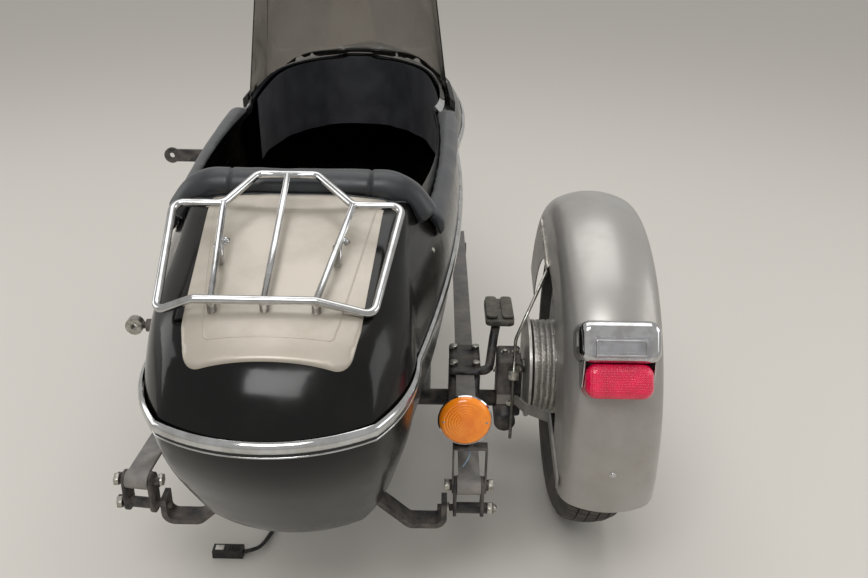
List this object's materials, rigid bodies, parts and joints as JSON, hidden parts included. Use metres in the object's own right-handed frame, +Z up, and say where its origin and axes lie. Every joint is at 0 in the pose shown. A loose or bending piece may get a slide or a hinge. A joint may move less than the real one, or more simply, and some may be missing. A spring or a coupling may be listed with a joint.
{
  "type": "motorcycle sidecar",
  "caption": "Detached motorcycle sidecar: black boat-shaped body with chrome belt, smoked screen and luggage rack on a leaf-sprung tube frame with a spoked wheel under a fender.",
  "frame": {"origin": "centre of the rear lower rod eye, which bolts to the motorcycle", "axes": "+X from the motorcycle's side out towards the sidecar's wheel, +Y forward, +Z up; the floor is at z -0.320"},
  "size_m": [1.2001, 2.2991, 1.06],
  "materials": {
    "body_black": "deep gloss black paint",
    "panel_silver": "pale warm silver paint",
    "fender_silver": "metallic silver paint",
    "frame_black": "dusty satin black paint",
    "bright_chrome": "polished chrome",
    "zinc_steel": "zinc-plated steel",
    "cast_alloy": "cast alloy",
    "smoked_screen": "clear smoked sheet",
    "red_lens": "moulded clear red",
    "amber_lens": "moulded clear amber",
    "black_vinyl": "grained satin vinyl",
    "black_rubber": "matt rubber",
    "wheel_tyre": "worn matt rubber",
    "board_wood": "sealed plywood",
    "lead_sleeve": "ribbed black sleeve",
    "plug_plastic": "moulded black plastic"
  },
  "bodies": {
    "chassis": {"deck_upper": "body_black", "hull_lower": "body_black", "belt_moulding": "bright_chrome", "deck_panel": "panel_silver", "cockpit_rim": "bright_chrome", "windshield": "smoked_screen", "windshield_lip": "black_rubber", "seat_roll": "black_vinyl", "armrest_left": "black_vinyl", "armrest_right": "black_vinyl", "seat_cushion": "black_vinyl", "seat_board": "board_wood", "floor_board": "board_wood", "boot_bulkhead": "frame_black", "cowl_apron": "black_vinyl", "luggage_rack": "bright_chrome", "chassis_frame": "frame_black", "rear_rod_eye": "zinc_steel", "front_rod_eye": "zinc_steel", "upper_mount_arm": "frame_black", "leaf_spring_left": "frame_black", "leaf_spring_right": "frame_black", "spring_clamp_left": "frame_black", "spring_clamp_right": "frame_black", "shackle_left": "zinc_steel", "shackle_right": "zinc_steel", "hanger_rear": "frame_black", "hanger_front": "frame_black", "step_arm": "frame_black", "step_pad": "black_rubber", "axle_block": "frame_black", "wheel_axle": "zinc_steel", "brake_plate": "cast_alloy", "fender": "fender_silver", "fender_stay_front": "zinc_steel", "fender_stay_rear": "zinc_steel", "tail_lamp_hood": "bright_chrome", "tail_lamp_lens": "red_lens", "indicator_bowl": "bright_chrome", "indicator_lens": "amber_lens", "indicator_bracket": "zinc_steel", "harness_lead": "lead_sleeve", "harness_plug": "plug_plastic"},
    "wheel": {"tyre": "wheel_tyre", "wheel_rim": "bright_chrome", "wheel_hub": "cast_alloy"},
    "seat_back": {"seat_back_board": "board_wood", "seat_back_pad": "black_vinyl"}
  },
  "joints": [
    {"name": "wheel_spin", "type": "hinge", "parent": "chassis", "child": "wheel", "pos_m": [1.013, -0.166, 0.005], "axis": [1, 0, 0], "continuous": true},
    {"name": "seat_back_fold", "type": "hinge", "parent": "chassis", "child": "seat_back", "pos_m": [0.466, -0.342, 0.192], "axis": [-1, 0, 0], "range_deg": [0, 60]}
  ]
}
